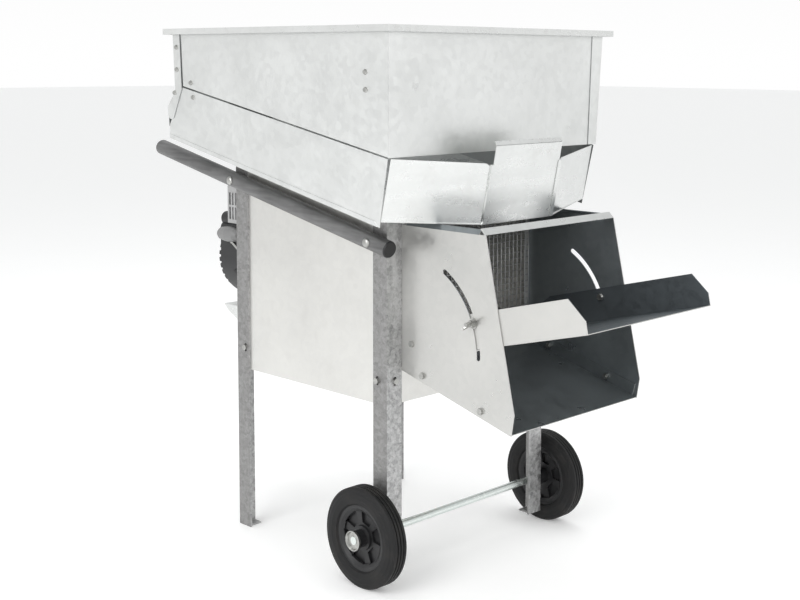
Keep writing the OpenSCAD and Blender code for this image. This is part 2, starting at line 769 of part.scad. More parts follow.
// Rim: a flat flange with a turned down edge all round
module hopper_rim() {
  x0 = hopper_rear_x - rim_reach + 3;
  x1 = hopper_front_x + rim_reach;
  y = hopper_half_w + rim_reach;
  z = hopper_top_z + sheet * sin(wall_lean) + eps;
  color("gainsboro") here() difference() {
    translate([x0, -y, z - rim_drop]) cube([x1 - x0, 2 * y, rim_drop + sheet]);
    translate([x0 + sheet, -y + sheet, z - rim_drop - 1])
      cube([x1 - x0 - 2 * sheet, 2 * (y - sheet), rim_drop + 1]);
    translate([hopper_rear_x + sheet, -hopper_half_w + sheet, z - 1])
      cube([hopper_front_x - hopper_rear_x - 2 * sheet, 2 * (hopper_half_w - sheet), 10]);
  }
}

// Engine
// The engine faces rearward: its output flange meets the rear panel.
shelf_z = 448;
shelf_reach = 236;
shelf_half_w = 100;
block_face_x = rear_panel_x;
block_rear_x = -390;
shroud_rear_x = -484;
grip_x = -420;

module engine_shelf() {
  x1 = rear_panel_x;
  x0 = x1 - shelf_reach;
  color("whitesmoke") here() difference() {
    union() {
      translate([x0, -shelf_half_w, shelf_z - 3]) cube([shelf_reach, 2 * shelf_half_w, 3]);
      translate([x1 - 3, -shelf_half_w, shelf_z - 88]) cube([3, 2 * shelf_half_w, 88]);
      both_sides() translate([0, -shelf_half_w, 0]) sheet_xz(sheet) polygon([
        [x0, shelf_z], [x0 + 14, shelf_z - 14], [x0 + 47, shelf_z - 30], [x1 - 60, shelf_z - 72],
        [x1, shelf_z - 88], [x1, shelf_z]
      ]);
    }
    for (x = [-290, -350], y = [-45, 45]) translate([x, y, shelf_z - 10]) cylinder(d = hole_d, h = 20);
  }
}

module engine_block() {
  color("darkgray") here() difference() {
    union() {
      // Output flange and crankcase
      translate([block_face_x - 10, 0, fan_z]) rotate([0, 90, 0]) cylinder(d = 120, h = 10);
      translate([block_face_x - 10, 0, fan_z]) rotate([0, 90, 0]) cylinder(d = shaft_hole_d - 0.4, h = 18);
      translate([block_rear_x, -54, shelf_z + 14]) cube([block_face_x - 10 - block_rear_x, 108, 150]);
      translate([block_rear_x, 0, fan_z]) rotate([0, 90, 0])
        cylinder(r = 66, h = block_face_x - 10 - block_rear_x);
      // Feet on the shelf
      for (x = [-365, -305], y = [-58, 32]) translate([x, y, shelf_z]) cube([30, 26, 20]);
      // Cylinder with cooling fins
      translate([-340, 0, 600]) cylinder(r = 34, h = 112);
      for (k = [0:6]) translate([-382, -46, 628 + k * 11]) cube([84, 92, 4]);
      translate([-372, -36, 704]) cube([64, 72, 14]);
    }
    translate([-330, 0, fan_z]) rotate([0, 90, 0]) cylinder(d = shaft_d + 2 * run_fit, h = 200);
    for (x = [-290, -350], y = [-45, 45]) translate([x, y, shelf_z - 5]) cylinder(d = hole_d, h = 18);
  }
}

// Black fan shroud: a round casing with a taller rear part
module engine_shroud() {
  r = shroud_r;
  color("darkslategray") here() {
    translate([shroud_rear_x, 0, fan_z]) rotate([0, 90, 0]) cylinder(r = r, h = block_rear_x - shroud_rear_x);
    translate([shroud_rear_x, -r, fan_z]) cube([block_rear_x - shroud_rear_x, 2 * r, 70]);
    translate([shroud_rear_x, -r + 16, fan_z + 69]) cube([block_rear_x - shroud_rear_x, 2 * r - 32, 16]);
    for (s = [-1, 1]) translate([shroud_rear_x, s * (r - 16), fan_z + 69]) rotate([0, 90, 0])
      cylinder(r = 16, h = block_rear_x - shroud_rear_x);
    translate([shroud_rear_x, -r + 18, fan_z + 84]) cube([30, r + 12, 24]);
    translate([shroud_rear_x, -r + 18, fan_z + 92]) rotate([0, 90, 0]) cylinder(r = 16, h = 30);
    // Boss where the starter rope comes out
    translate([grip_x, -r + 1, fan_z + 62]) rotate([90, 0, 0]) cylinder(d1 = 22, d2 = 16, h = 5);
    // Boss under the stop switch
    translate([-412, -r + 12, fan_z - 26]) rotate([90, 0, 0]) cylinder(d = 24, h = 12);
  }
}

// Starter cover: a domed disc whose edge is cut into air teeth
module starter_cover() {
  r = shroud_r - 4;
  color("darkslategray") here() translate([shroud_rear_x, 0, fan_z]) rotate([0, -90, 0]) difference() {
    rotate_extrude() polygon([
      [0, 0], [r, 0], [r, 12], [r - 6, 18], [r - 26, 19], [r - 30, 24], [24, 30], [0, 31]
    ]);
    for (k = [0:starter_teeth - 1]) rotate([0, 0, k * 360 / starter_teeth])
      translate([r - 20, -3.6, 6]) cube([40, 7.2, 40]);
  }
}

// Starter grip with the end of its rope
module starter_grip() {
  y = -shroud_r - 4 - gap;
  color("gray") here() translate([grip_x, y, fan_z + 62]) {
    rotate([90, 0, 0]) cylinder(d = 5, h = 12);
    difference() {
      union() {
        translate([0, -18, 0]) rotate([0, 90, 0]) translate([0, 0, -38]) rotate_extrude()
          polygon([[0, 0], [9, 2], [15, 12], [17, 26], [18, 38], [17, 50], [15, 64], [9, 74], [0, 76]]);
        translate([0, -2, 0]) rotate([90, 0, 0]) cylinder(d1 = 14, d2 = 22, h = 14);
      }
      translate([-60, 0.01, -30]) cube([120, 20, 60]);
    }
  }
}

muffler_x0 = -430;
muffler_x1 = -346;

module muffler() {
  color("dimgray") here() {
    translate([muffler_x0 + 6, -112, 654]) cube([muffler_x1 - muffler_x0 - 12, 38, 80.45]);
    translate([-362, -75, 676]) rotate([-90, 0, 0]) cylinder(d = 22, h = 28.9);
  }
}

// Pressed guard with two rows of upright slots
module muffler_guard() {
  w = muffler_x1 - muffler_x0;
  color("lightgray") here() difference() {
    translate([muffler_x0, -118, 648]) cube([w, 52, 88]);
    translate([muffler_x0 + 1.5, -116.5, 640]) cube([w - 3, 60, 94.5]);
    for (i = [0:6], z = [657, 691]) translate([muffler_x0 + 6 + i * 11.2, -125, z]) cube([5.5, 20, 29]);
    for (i = [0:2], z = [657, 691]) translate([muffler_x0 - 10, -108 + i * 12, z]) cube([20, 5.5, 29]);
  }
}

module carburettor() {
  color("silver") here() {
    translate([-362, 46.1, 650]) cube([36, 20, 34]);
    translate([-344, 66, 667]) rotate([-90, 0, 0]) cylinder(d = 30, h = 12);
    translate([-344, 59.3, 630]) cylinder(d = 26, h = 20.5);
  }
}

module air_cleaner() {
  color("darkslategray") here() difference() {
    union() {
      translate([-386, 78, 620]) cube([78, 34, 84]);
      translate([-380, 112, 626]) cube([66, 8, 72]);
    }
    for (k = [0:5]) translate([-376 + k * 10.5, 116, 634]) cube([5, 10, 56]);
  }
}

module fuel_tank() {
  z = fan_z + 85.02;
  color("whitesmoke") here() difference() {
    union() {
      translate([-478, 32, z]) cube([78, 68, 62]);
      translate([-472, 37, z + 61]) cube([66, 57, 7]);
      translate([-440, 66, z + 60]) cylinder(d = 34, h = 16);
    }
    translate([-500, 0, fan_z]) rotate([0, 90, 0]) cylinder(r = shroud_r + gap, h = 120);
  }
}

module fuel_cap() {
  z = fan_z + 85.02 + 76 + 0.02;
  color("darkslategray") here() translate([-440, 66, z]) difference() {
    cylinder(d = 42, h = 12);
    for (k = [0:11]) rotate([0, 0, k * 30]) translate([21, 0, -1]) cylinder(d = 4, h = 20);
  }
}

module plug_cap() {
  color("darkslategray") here() translate([-340, 0, 718.02]) {
    cylinder(d = 20, h = 22);
    translate([0, 0, 14]) rotate([0, -90, 0]) cylinder(d = 12, h = 30);
  }
}

// Small levers on stub pins
module lever(len) {
  cylinder(d = 10, h = 3);
  translate([0, -3, 0]) cube([len - 4, 6, 2.4]);
  translate([len - 4, 0, 0]) cylinder(d = 9, h = 2.4);
}

module throttle_lever() {
  color("silver") here() translate([-404, -shroud_r - gap, fan_z + 18]) rotate([90, 0, 0])
    rotate([0, 0, 148]) lever(46);
}

module choke_lever() {
  color("silver") here() translate([-322, 56, 667]) rotate([0, 90, 0]) {
    translate([0, 0, gap - 4]) cylinder(d = 5, h = 5 - gap);
    rotate([0, 0, 30]) lever(30);
  }
}

module stop_switch() {
  color("firebrick") here() translate([-412, -shroud_r - gap, fan_z - 26]) rotate([90, 0, 0]) {
    cylinder(d = 18, h = 6);
    translate([-8, -2, 0]) cube([16, 4, 10]);
  }
}

// Fan and shaft
module drive_shaft() {
  color("silver") here() translate([-328, 0, fan_z]) rotate([0, 90, 0])
    cylinder(d = shaft_d, h = fan_x + 34 + 328);
}

module fan() {
  hub_r = 40;
  color("darkgray") here() translate([fan_x - 22, 0, fan_z]) rotate([0, 90, 0]) difference() {
    union() {
      cylinder(r = hub_r, h = 44);
      for (k = [0:fan_blades - 1]) rotate([0, 0, k * 360 / fan_blades])
        translate([hub_r - 6, 0, 22]) rotate([32, 0, 0])
          translate([0, -1.2, 0]) linear_extrude(2.4, center = true)
            polygon([[0, -22], [fan_d / 2 - hub_r - 2, -36], [fan_d / 2 - hub_r + 2, 20], [0, 22]]);
    }
    translate([0, 0, -1]) cylinder(d = shaft_d, h = 60);
  }
}

// Fasteners
// Bolt along Z: the head's underside is at 0, the nut's top face at -grip
module bolt(grip) {
  cylinder(d = 13, h = 5, $fn = 6);
  translate([0, 0, -grip - 9]) cylinder(d = bolt_d, h = grip + 9);
  translate([0, 0, -grip - 6.5]) difference() {
    cylinder(d = 13, h = 6.5, $fn = 6);
    translate([0, 0, -1]) cylinder(d = bolt_d - eps, h = 9);
  }
}

module dome_head() {
  rotate_extrude() intersection() {
    scale([9, 5]) circle(1);
    square([10, 6]);
  }
}

module frame_bolts() {
  color("silver") here() {
    both_sides() {
      for (x = [panel_bolt_x, -panel_bolt_x])
        translate([x, -half_y, panel_bolt_z]) rotate([90, 0, 0]) bolt(angle_t + sheet);
      translate([half_x, -panel_bolt_y, panel_bolt_z]) rotate([0, 90, 0])
        bolt(angle_t + plate_t + 2 * sheet);
      for (z = [panel_bolt_z, rear_upper_bolt_z])
        translate([-half_x, -panel_bolt_y, z]) rotate([0, -90, 0]) bolt(angle_t + 2 * sheet);
      for (x = [tube_bolt_x, -tube_bolt_x])
        translate([x, -half_y - tube_d, tube_axis_z(x)]) rotate([90, 0, 0]) {
          dome_head();
          translate([0, 0, -tube_d - angle_t - sheet - 9]) cylinder(d = bolt_d, h = tube_d + angle_t + sheet + 9);
          translate([0, 0, -tube_d - angle_t - sheet - 6.5]) difference() {
            cylinder(d = 13, h = 6.5, $fn = 6);
            translate([0, 0, -1]) cylinder(d = bolt_d - eps, h = 9);
          }
        }
      translate([-290, 45, shelf_z - 3]) rotate([180, 0, 0]) {
        cylinder(d = 13, h = 5, $fn = 6);
        translate([0, 0, -16]) cylinder(d = bolt_d, h = 16);
      }
      translate([-350, 45, shelf_z - 3]) rotate([180, 0, 0]) {
        cylinder(d = 13, h = 5, $fn = 6);
        translate([0, 0, -16]) cylinder(d = bolt_d, h = 16);
      }
    }
  }
}

// Round heads on the hopper and tray sides, and bolts of the outlet floor
wall_bolts = [
  [265, 1008], [264.5, 975], [-292, 979], [-286, 948], [-338, 1055], [-340, 1007], [-352, 957]
];

module sheet_bolts() {
  color("silver") here() both_sides() {
    for (p = wall_bolts) {
      lift = p[0] < -330 ? sheet + 0.02 : 0.02;
      right_wall_frame() translate([p[0], -lift, (p[1] - hopper_top_z) / cos(wall_lean)])
        rotate([90, 0, 0]) cylinder(d1 = 11, d2 = 8, h = 3.2);
    }
    for (p = floor_bolts) translate([p[0], -outlet_half_w, p[1]]) rotate([90, 0, 0])
      bolt(plate_t + sheet + 0.02);
  }
}

leg_front_right();
leg_front_left();
leg_rear_right();
leg_rear_left();
handle_tube_right();
handle_tube_left();
tube_plugs();
axle();
tyre_right();
tyre_left();
wheel_right();
wheel_left();
hub_caps();
side_panel_right();
side_panel_left();
front_panel();
rear_panel();
fan_duct();
fan_ring();
mesh_guard();
outlet_plate_right();
outlet_plate_left();
outlet_floor();
tie_strip();
deflector();
pivot_bolts();
clamp_bolts();
wing_nut_right();
wing_nut_left();
tray_floor();
tray_side_right();
tray_side_left();
funnel_wall_right();
funnel_wall_left();
gate_guides();
gate();
hopper_front();
hopper_side_right();
hopper_side_left();
hopper_rear();
hopper_rim();
engine_shelf();
engine_block();
engine_shroud();
starter_cover();
starter_grip();
muffler();
muffler_guard();
air_cleaner();
carburettor();
fuel_tank();
fuel_cap();
plug_cap();
throttle_lever();
choke_lever();
stop_switch();
drive_shaft();
fan();
frame_bolts();
sheet_bolts();
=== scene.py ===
import json
import math

import bpy
import numpy as np
from mathutils import Matrix, Vector


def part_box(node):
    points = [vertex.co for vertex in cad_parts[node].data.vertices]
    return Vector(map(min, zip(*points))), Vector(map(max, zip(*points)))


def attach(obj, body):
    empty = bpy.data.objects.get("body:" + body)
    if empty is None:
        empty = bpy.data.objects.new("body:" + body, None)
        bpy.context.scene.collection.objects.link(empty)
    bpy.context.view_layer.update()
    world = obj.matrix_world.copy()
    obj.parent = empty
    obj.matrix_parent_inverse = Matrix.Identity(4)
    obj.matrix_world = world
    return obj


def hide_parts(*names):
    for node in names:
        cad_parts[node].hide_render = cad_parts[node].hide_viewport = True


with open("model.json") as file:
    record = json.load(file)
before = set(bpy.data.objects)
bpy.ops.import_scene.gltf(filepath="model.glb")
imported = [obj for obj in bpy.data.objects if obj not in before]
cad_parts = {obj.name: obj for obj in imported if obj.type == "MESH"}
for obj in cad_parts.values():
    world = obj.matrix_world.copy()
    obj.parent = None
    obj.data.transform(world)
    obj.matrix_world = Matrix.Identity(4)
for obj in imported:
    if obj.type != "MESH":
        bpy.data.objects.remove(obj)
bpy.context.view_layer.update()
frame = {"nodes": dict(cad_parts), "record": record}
MM = 0.001

# The machine's own origin is the middle of its legs, with the axle 220 mm ahead of it.
# The frame's origin lies elsewhere, so the shift between them is taken from the axle.
AXLE_AHEAD = 220 * MM
axle_low, axle_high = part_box("axle")
FRAME_SHIFT = (axle_low[0] + axle_high[0]) / 2 - AXLE_AHEAD

# Camera, fitted to the photograph's straight edges
FOCAL_PX = 1301.0
IMAGE_W, IMAGE_H = 800, 600
CENTRE_PX = (460.0, 185.0)
AZIMUTH, DOWN, ROLL = math.radians(43.691), math.radians(5.498), math.radians(0.289)
CAMERA_AT = (2059.19 * MM, -1935.15 * MM, 1031.19 * MM)
SENSOR_MM = 36.0


def make_camera():
    """The photograph's camera. Its optical centre lies off the picture's middle, so it has a shift."""
    right = Vector((math.cos(AZIMUTH), math.sin(AZIMUTH), 0))
    ahead = Vector((-math.sin(AZIMUTH) * math.cos(DOWN), math.cos(AZIMUTH) * math.cos(DOWN), -math.sin(DOWN)))
    up = right.cross(ahead)
    rolled = math.cos(ROLL) * right + math.sin(ROLL) * up
    up = -math.sin(ROLL) * right + math.cos(ROLL) * up
    data = bpy.data.cameras.new("camera")
    data.sensor_width = SENSOR_MM
    data.lens = FOCAL_PX / IMAGE_W * SENSOR_MM
    data.shift_x = (IMAGE_W / 2 - CENTRE_PX[0]) / IMAGE_W
    data.shift_y = (CENTRE_PX[1] - IMAGE_H / 2) / IMAGE_W
    camera = bpy.data.objects.new("camera", data)
    turn = Matrix((rolled, up, -ahead)).transposed().to_4x4()
    camera.matrix_world = Matrix.Translation(Vector(CAMERA_AT) + Vector((FRAME_SHIFT, 0, 0))) @ turn
    bpy.context.scene.collection.objects.link(camera)
    bpy.context.scene.camera = camera


class Nodes:
    """Short calls that build one material's node tree."""

    def __init__(self, name):
        self.material = bpy.data.materials.new(name)
        self.material.use_nodes = True
        self.tree = self.material.node_tree
        self.shader = self.tree.nodes["Principled BSDF"]
        self.where = self.node("ShaderNodeTexCoord").outputs["Object"]

    def node(self, kind, **values):
        made = self.tree.nodes.new(kind)
        for key, value in values.items():
            setattr(made, key, value)
        return made

    def put(self, socket, value):
        """Links a socket, or sets a plain value."""
        if isinstance(value, bpy.types.NodeSocket):
            self.tree.links.new(value, socket)
        else:
            socket.default_value = value

    def axes(self, vector):
        split = self.node("ShaderNodeSeparateXYZ")
        self.put(split.inputs["Vector"], vector)
        return split.outputs

    def normal(self):
        return self.axes(self.node("ShaderNodeNewGeometry").outputs["True Normal"])

    def noise(self, scale, detail=4.0, stretch=(1, 1, 1)):
        """Cloudy noise. A stretch under 1 makes its marks long on that axis."""
        mapping = self.node("ShaderNodeMapping")
        self.put(mapping.inputs["Vector"], self.where)
        mapping.inputs["Scale"].default_value = stretch
        made = self.node("ShaderNodeTexNoise")
        self.put(made.inputs["Vector"], mapping.outputs["Vector"])
        made.inputs["Scale"].default_value = scale
        made.inputs["Detail"].default_value = detail
        return made.outputs["Fac"]

    def cells(self, scale):
        """Flat random value per crystal, as zinc spangles have."""
        made = self.node("ShaderNodeTexVoronoi")
        self.put(made.inputs["Vector"], self.where)
        made.inputs["Scale"].default_value = scale
        made.inputs["Randomness"].default_value = 1.0
        split = self.node("ShaderNodeSeparateColor")
        self.put(split.inputs["Color"], made.outputs["Color"])
        return split.outputs["Red"]

    def between(self, value, low, high, start=0.0, end=1.0):
        """Goes from low to high while the value goes from start to end."""
        made = self.node("ShaderNodeMapRange")
        self.put(made.inputs["Value"], value)
        made.inputs["From Min"].default_value = start
        made.inputs["From Max"].default_value = end
        made.inputs["To Min"].default_value = low
        made.inputs["To Max"].default_value = high
        return made.outputs["Result"]

    def maths(self, operation, a, b=0.0):
        made = self.node("ShaderNodeMath", operation=operation)
        self.put(made.inputs[0], a)
        self.put(made.inputs[1], b)
        return made.outputs[0]

    def shared(self, a, share, b):
        """share parts of a, and the rest b."""
        return self.maths("ADD", self.maths("MULTIPLY", a, share), self.maths("MULTIPLY", b, 1 - share))

    def mix(self, factor, a, b):
        made = self.node("ShaderNodeMix", data_type="RGBA")
        self.put(made.inputs["Factor"], factor)
        self.put(made.inputs["A"], a)
        self.put(made.inputs["B"], b)
        return made.outputs["Result"]

    def finish(self, colour, rough, metal, bump=None, depth=0.0, strength=0.0):
        """Sets the shader, with a bump in metres where one is given, and returns the material."""
        self.put(self.shader.inputs["Base Color"], colour)
        self.put(self.shader.inputs["Roughness"], rough)
        self.put(self.shader.inputs["Metallic"], metal)
        if bump is not None:
            made = self.node("ShaderNodeBump")
            made.inputs["Strength"].default_value = strength
            made.inputs["Distance"].default_value = depth
            self.put(made.inputs["Height"], bump)
            self.put(self.shader.inputs["Normal"], made.outputs["Normal"])
        return self.material


def rgb(red, green, blue):
    return (red, green, blue, 1.0)


def grey(value):
    return rgb(value, value, value)


# Colours, as light and dark where they come in pairs
SHEET = (rgb(0.80, 0.81, 0.80), rgb(0.69, 0.70, 0.69))
PANEL = (rgb(0.74, 0.735, 0.71), rgb(0.64, 0.635, 0.615))
SHEET_STAIN = rgb(0.58, 0.57, 0.55)
OUTLET = (rgb(0.60, 0.595, 0.575), rgb(0.50, 0.50, 0.485))
# Painted shade and dark reflection for the inner faces of the outlet, the deflector and the hopper
OUTLET_INSIDE_SHADE = (rgb(0.27, 0.295, 0.31), rgb(0.21, 0.23, 0.24))
DEFLECTOR_INSIDE_SHADE = (rgb(0.115, 0.13, 0.14), rgb(0.09, 0.102, 0.11))
HOPPER_INSIDE_SHADE = (rgb(0.34, 0.35, 0.35), rgb(0.28, 0.29, 0.29))
ANGLE = (grey(0.60), grey(0.26))
ANGLE_RUN = grey(0.72)
# Painted shade for the angle faces that look to -y
ANGLE_PAINTED_SHADE = rgb(0.1648, 0.16, 0.1552)
TUBE = (grey(0.24), grey(0.10))
FASTENER = (rgb(0.58, 0.58, 0.56), rgb(0.26, 0.26, 0.25))
AXLE = (rgb(0.84, 0.88, 0.86), rgb(0.62, 0.67, 0.65))
RUBBER_CLEAN = rgb(0.009, 0.009, 0.0095)
RUBBER_DUSTY = rgb(0.06, 0.055, 0.05)
BLACK_CLEAN = rgb(0.012, 0.012, 0.013)
BLACK_DUSTY = grey(0.05)
GRIP_CLEAN = grey(0.20)
GRIP_DUSTY = rgb(0.30, 0.30, 0.29)
TANK_CLEAN = rgb(0.70, 0.70, 0.66)
TANK_DUSTY = rgb(0.60, 0.60, 0.57)
FLOOR = (grey(0.95), grey(0.93))

# Zinc crystals per metre, on sheet and on hot dipped iron
SHEET_CRYSTALS = 90.0
ANGLE_CRYSTALS, ANGLE_FINE_CRYSTALS = 140.0, 330.0


def zinc_sheet(name, colours, rough_low, rough_high):
    """Galvanised sheet: faint crystals, long rolling marks and cloudy stains."""
    light, dark = colours
    n = Nodes(name)
    crystals = n.cells(SHEET_CRYSTALS)
    clouds = n.noise(scale=7.0, detail=5.0)
    marks = n.noise(scale=60.0, detail=3.0, stretch=(0.12, 0.12, 1.0))
    tone = n.shared(crystals, 0.15, clouds)
    base = n.mix(n.between(tone, 0.0, 1.0, start=0.2, end=0.8), dark, light)
    stains = n.between(n.noise(scale=24.0, detail=6.0), 0.0, 0.25, start=0.58, end=0.75)
    colour = n.mix(stains, base, SHEET_STAIN)
    rough = n.between(n.shared(crystals, 0.2, marks), rough_low, rough_high, start=0.2, end=0.8)
    return n.finish(colour, rough, metal=1.0, bump=marks, depth=0.1 * MM, strength=0.12)


def hot_dip(name):
    """Hot dipped angle iron: coarse matt crystals and pale runs, with painted shade on the faces that look to
    -y.
    """
    light, dark = ANGLE
    n = Nodes(name)
    tone = n.shared(n.cells(ANGLE_CRYSTALS), 0.6, n.cells(ANGLE_FINE_CRYSTALS))
    base = n.mix(tone, dark, light)
    runs = n.between(n.noise(scale=18.0, detail=5.0, stretch=(1, 1, 0.25)), 0.0, 0.7, start=0.55, end=0.72)
    colour = n.mix(runs, base, ANGLE_RUN)
    # Painted shade: the faces that look to -y are darkened
    painted_shade = n.between(n.normal()["Y"], 0.55, 0.0, start=-0.9, end=-0.4)
    colour = n.mix(painted_shade, colour, ANGLE_PAINTED_SHADE)
    rough = n.between(tone, 0.36, 0.62)
    return n.finish(colour, rough, metal=0.85, bump=tone, depth=0.3 * MM, strength=0.35)


def two_faced(name, outer, inner, metal, rough=(0.26, 0.42), open_ends=True):
    """Sheet whose inner faces get painted shade and dark reflection, in darker colours than the outer faces.
    A face is inner where its normal n points back to the plane y = 0.
    With open ends, as the outlet has, a face that looks up is inner too: max(-ny sign(y), nz) is high.
    Without them, as in the hopper, so is one that points back to x = 0: max(-ny sign(y), -nx sign(x))."""
    n = Nodes(name)
    crystals = n.cells(SHEET_CRYSTALS)
    clouds = n.noise(scale=6.0, detail=5.0)
    tone = n.between(n.shared(crystals, 0.15, clouds), 0.0, 1.0, start=0.25, end=0.75)
    outside = n.mix(tone, outer[1], outer[0])
    # Painted shade: the darker colours of the inner faces
    inside = n.mix(tone, inner[1], inner[0])
    normal = n.normal()
    place = n.axes(n.where)

    def inward(axis):
        outward = n.maths("MULTIPLY", normal[axis], n.maths("SIGN", place[axis]))
        return n.maths("MULTIPLY", outward, -1.0)

    # Painted shade mask: high on the inner faces
    shade_mask = n.maths("MAXIMUM", inward("Y"), normal["Z"] if open_ends else inward("X"))
    colour = n.mix(n.between(shade_mask, 0.0, 1.0, start=0.3, end=0.6), outside, inside)
    shine = n.between(n.maths("ADD", crystals, clouds), rough[0], rough[1], start=0.3, end=1.6)
    return n.finish(colour, shine, metal, bump=clouds, depth=0.1 * MM, strength=0.08)


def cast_metal(name, tone):
    """Dull metal with a fine cast grain."""
    n = Nodes(name)
    grain = n.noise(scale=900.0, detail=3.0)
    clouds = n.noise(scale=30.0)
    colour = n.mix(clouds, grey(tone * 0.75), grey(tone))
    rough = n.between(grain, 0.38, 0.58)
    return n.finish(colour, rough, metal=0.9, bump=grain, depth=0.2 * MM, strength=0.3)


def plated(name, colours, rough_low):
    """Zinc plated steel: bright, with clouds a few millimetres wide."""
    light, dark = colours
    n = Nodes(name)
    clouds = n.noise(scale=160.0)
    colour = n.mix(clouds, dark, light)
    rough = n.between(clouds, rough_low, rough_low + 0.2)
    return n.finish(colour, rough, metal=1.0, bump=clouds, depth=0.1 * MM, strength=0.1)


def plastic(name, clean, dusty, rough_low):
    """Moulded plastic with a fine grain, and dust in patches."""
    n = Nodes(name)
    grain = n.noise(scale=1400.0, detail=2.0)
    dust = n.between(n.noise(scale=40.0, detail=6.0), 0.0, 0.5, start=0.55, end=0.8)
    colour = n.mix(dust, clean, dusty)
    rough = n.between(dust, rough_low, rough_low + 0.2, end=0.5)
    return n.finish(colour, rough, metal=0.0, bump=grain, depth=0.15 * MM, strength=0.25)


def rubber(name):
    """Black tyre rubber, with pale dust in patches."""
    n = Nodes(name)
    grain = n.noise(scale=700.0, detail=3.0)
    dust = n.between(n.noise(scale=28.0, detail=6.0), 0.0, 0.4, start=0.5, end=0.8)
    colour = n.mix(dust, RUBBER_CLEAN, RUBBER_DUSTY)
    n.shader.inputs["Specular IOR Level"].default_value = 0.3
    rough = n.between(dust, 0.6, 0.85, end=0.5)
    return n.finish(colour, rough, metal=0.0, bump=grain, depth=0.3 * MM, strength=0.35)


def dark_tube(name):
    """Grey steel tube with a dull, slightly streaked coat along its length."""
    light, dark = TUBE
    n = Nodes(name)
    streaks = n.noise(scale=120.0, stretch=(0.08, 1, 1))
    tone = n.shared(streaks, 0.5, n.noise(scale=12.0))
    colour = n.mix(n.between(tone, 0.0, 1.0, start=0.3, end=0.7), dark, light)
    rough = n.between(tone, 0.36, 0.55)
    return n.finish(colour, rough, metal=0.8, bump=streaks, depth=0.1 * MM, strength=0.15)


MATERIALS = {
    "sheet": zinc_sheet("galvanised_sheet", SHEET, rough_low=0.22, rough_high=0.38),
    "panel": zinc_sheet("dull_panel", PANEL, rough_low=0.30, rough_high=0.46),
    "angle": hot_dip("galvanised_angle"),
    "tube": dark_tube("tube_steel"),
    "plated": plated("zinc_steel", FASTENER, rough_low=0.22),
    "axle": plated("bright_axle", AXLE, rough_low=0.14),
    "wire": cast_metal("mesh_wire", tone=0.62),
    "alloy": cast_metal("cast_alloy", tone=0.62),
    "muffler": cast_metal("muffler_steel", tone=0.55),
    "black": plastic("black_plastic", BLACK_CLEAN, BLACK_DUSTY, rough_low=0.45),
    "grip": plastic("grip_plastic", GRIP_CLEAN, GRIP_DUSTY, rough_low=0.45),
    "tank": plastic("tank_plastic", TANK_CLEAN, TANK_DUSTY, rough_low=0.35),
    "tyre": rubber("tyre_rubber"),
    "plate": two_faced("outlet_sheet", OUTLET, OUTLET_INSIDE_SHADE, metal=0.75),
    "deflector": two_faced("deflector_sheet", OUTLET, DEFLECTOR_INSIDE_SHADE, metal=0.7, rough=(0.42, 0.6)),
    "hopper": two_faced("hopper_sheet", SHEET, HOPPER_INSIDE_SHADE, metal=1.0, open_ends=False),
}
# The stop switch's slot is named for red, but the switch is black like the covers round it.
SLOT_MATERIAL = {
    "galvanised_angle": "angle", "galvanised_sheet": "sheet", "tube_steel": "tube",
    "zinc_steel": "plated", "mesh_wire": "wire", "cast_alloy": "alloy",
    "muffler_steel": "muffler", "black_plastic": "black", "grip_plastic": "grip",
    "tank_plastic": "tank", "red_plastic": "black", "tyre_rubber": "tyre",
}
# Nodes whose finish differs from the rest of their slot; the plate, deflector and hopper ones carry painted
# shade on their inner faces
OWN_FINISH_AND_SHADE = {
    "panel": ("side_panel_right", "side_panel_left", "front_panel", "rear_panel", "fan_duct", "fan_ring"),
    "plate": ("outlet_plate_right", "outlet_plate_left", "outlet_floor"),
    "deflector": ("deflector",),
    "hopper": ("hopper_side_right", "hopper_side_left", "hopper_front", "hopper_rear",
               "tray_side_right", "tray_side_left"),
    "axle": ("axle",),
}
NODE_MATERIAL = {node: key for key, nodes in OWN_FINISH_AND_SHADE.items() for node in nodes}


def paint_nodes():
    """Gives every CAD node its finish, by name or else by its slot."""
    for part in frame["record"]["subparts"]:
        obj = frame["nodes"][part["node"]]
        key = NODE_MATERIAL.get(part["node"], SLOT_MATERIAL[part["material_slot"]])
        obj.data.materials.clear()
        obj.data.materials.append(MATERIALS[key])


def mesh_object(name, verts, faces, material, smooth):
    mesh = bpy.data.meshes.new(name)
    mesh.from_pydata([tuple(v) for v in verts], [], [tuple(f) for f in faces])
    mesh.materials.append(material)
    mesh.polygons.foreach_set("use_smooth", np.full(len(mesh.polygons), smooth))
    mesh.validate()
    mesh.update()
    obj = bpy.data.objects.new(name, mesh)
    bpy.context.scene.collection.objects.link(obj)
    return obj


WIRE_D = 2.0 * MM
WIRE_SIDES = 8
MESH_PITCH = 12.7 * MM
# The two layers' middles stand this share of a wire's radius from the mesh's middle
WIRE_LAYER = 0.8


def wire(start, end):
    """Closed cylinder from start to end. Its ring points are start + r (a cos t + b sin t)."""
    start, end = np.array(start, float), np.array(end, float)
    along = (end - start) / np.linalg.norm(end - start)
    a = np.cross(along, (1.0, 0.0, 0.0))
    a = a / np.linalg.norm(a)
    b = np.cross(along, a)
    t = np.arange(WIRE_SIDES) * 2 * math.pi / WIRE_SIDES
    ring = WIRE_D / 2 * (np.outer(np.cos(t), a) + np.outer(np.sin(t), b))
    verts = np.vstack([start + ring, end + ring])
    low = range(WIRE_SIDES)
    high = range(WIRE_SIDES, 2 * WIRE_SIDES)
    faces = [(low[i], low[(i + 1) % WIRE_SIDES], high[(i + 1) % WIRE_SIDES], high[i]) for i in low]
    faces += [tuple(reversed(low)), tuple(high)]
    return verts, faces


